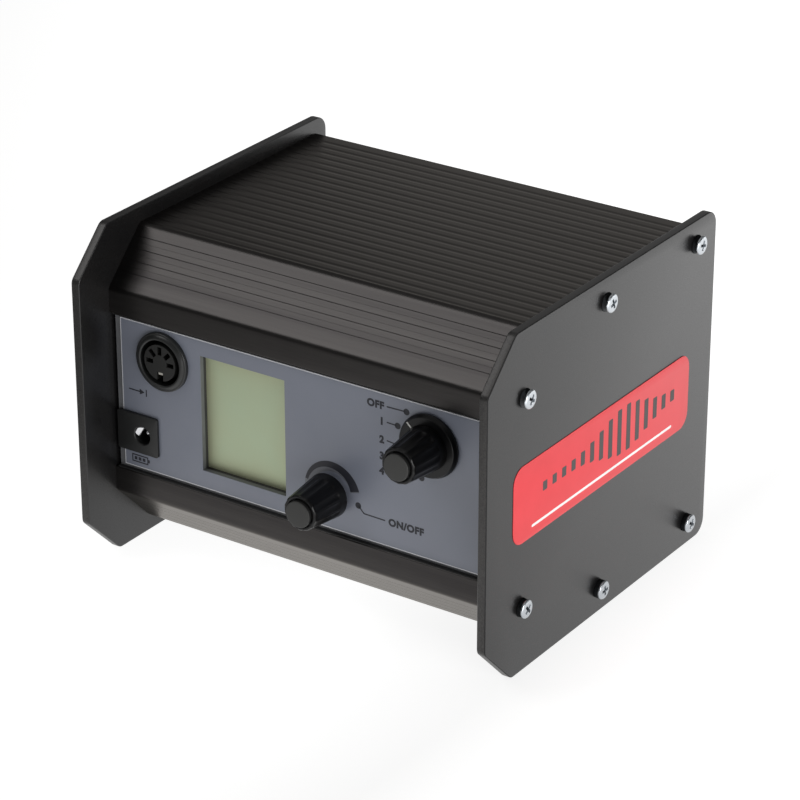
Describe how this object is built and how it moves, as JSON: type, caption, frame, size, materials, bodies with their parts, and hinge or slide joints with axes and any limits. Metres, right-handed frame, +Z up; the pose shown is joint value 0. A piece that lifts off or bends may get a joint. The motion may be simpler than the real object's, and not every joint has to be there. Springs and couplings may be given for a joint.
{
  "type": "stroboscope",
  "caption": "Portable LED stroboscope: ribbed bronze shells between black end plates, a control panel with display, sockets and knobs, and a lamp window at the back.",
  "frame": {"origin": "on the ground under the middle of the whole object, knobs and screw heads included", "axes": "+X to the right seen from the control panel, +Y from the control panel to the light, +Z up"},
  "size_m": [0.1558, 0.1328, 0.112],
  "materials": {
    "shell_anodised": "dark bronze anodised, satin",
    "end_plate_black": "black satin powder coat",
    "screw_zinc": "bright zinc",
    "label_red": "satin printed film",
    "panel_aluminium": "natural anodised",
    "overlay_print": "fine textured printed film",
    "steel": "plain",
    "circuit_board": "solder mask",
    "display": "reflective liquid crystal glass",
    "white_plastic": "plain",
    "socket_plastic": "moulded",
    "contact_brass": "plain",
    "black_plastic": "moulded",
    "knob_black": "fine satin moulded",
    "pointer_white": "print",
    "cap_grey": "fine matt moulded",
    "clear_sheet": "clear acrylic",
    "reflector": "vacuum metallised",
    "lamp_yellow": "phosphor under silicone",
    "sensor_dark": "dark infrared filter",
    "cell_wrap": "shrink sleeve",
    "capacitor_sleeve": "shrink sleeve",
    "ribbon_grey": "flexible"
  },
  "bodies": {
    "case": {"upper_shell": "shell_anodised", "lower_shell": "shell_anodised", "left_end_plate": "end_plate_black", "right_end_plate": "end_plate_black", "left_plate_screws": "screw_zinc", "right_plate_screws": "screw_zinc", "side_label": "label_red", "front_panel": "panel_aluminium", "panel_overlay": "overlay_print", "panel_seals": "black_plastic", "panel_studs": "steel", "control_board": "circuit_board", "control_board_screws": "steel", "display_gasket": "black_plastic", "display_glass": "display", "display_backlight": "white_plastic", "input_socket_shell": "socket_plastic", "input_socket_core": "socket_plastic", "input_socket_contacts": "contact_brass", "input_socket_nut": "steel", "charge_socket_body": "socket_plastic", "charge_socket_pin": "steel", "charge_socket_spring": "steel", "charge_socket_tags": "steel", "selector_switch": "black_plastic", "encoder_body": "black_plastic", "lamp_window": "clear_sheet", "reflector_plate": "reflector", "lamp_board": "white_plastic", "lamps": "lamp_yellow", "heat_sink": "panel_aluminium", "sensor_holder": "black_plastic", "pointer_laser": "contact_brass", "light_sensor": "sensor_dark", "battery_tray": "black_plastic", "battery_cells": "cell_wrap", "battery_straps": "white_plastic", "driver_pillars": "steel", "driver_board": "circuit_board", "driver_screws": "steel", "driver_capacitors": "capacitor_sleeve", "driver_inductor": "contact_brass", "ribbon_headers": "black_plastic", "ribbon_cable": "ribbon_grey", "tripod_bush": "contact_brass"},
    "selector": {"selector_shaft": "steel", "selector_collet": "contact_brass", "selector_skirt": "knob_black", "selector_pointer": "pointer_white", "selector_knob": "knob_black", "selector_cap": "cap_grey"},
    "encoder_push": {"encoder_plunger": "steel"},
    "encoder_dial": {"encoder_shaft": "steel", "encoder_collet": "contact_brass", "encoder_knob": "knob_black", "encoder_cap": "cap_grey"}
  },
  "joints": [
    {"name": "selector_turn", "type": "hinge", "parent": "case", "child": "selector", "pos_m": [0.0459, -0.048, 0.06875], "axis": [0, -1, 0], "range_deg": [0, 120]},
    {"name": "encoder_press", "type": "slide", "parent": "case", "child": "encoder_push", "axis": [0, 1, 0], "range_m": [0, 0.0005], "stiffness_N_per_m": 6000},
    {"name": "encoder_turn", "type": "hinge", "parent": "encoder_push", "child": "encoder_dial", "pos_m": [0.0105, -0.048, 0.04325], "axis": [0, -1, 0], "continuous": true}
  ]
}
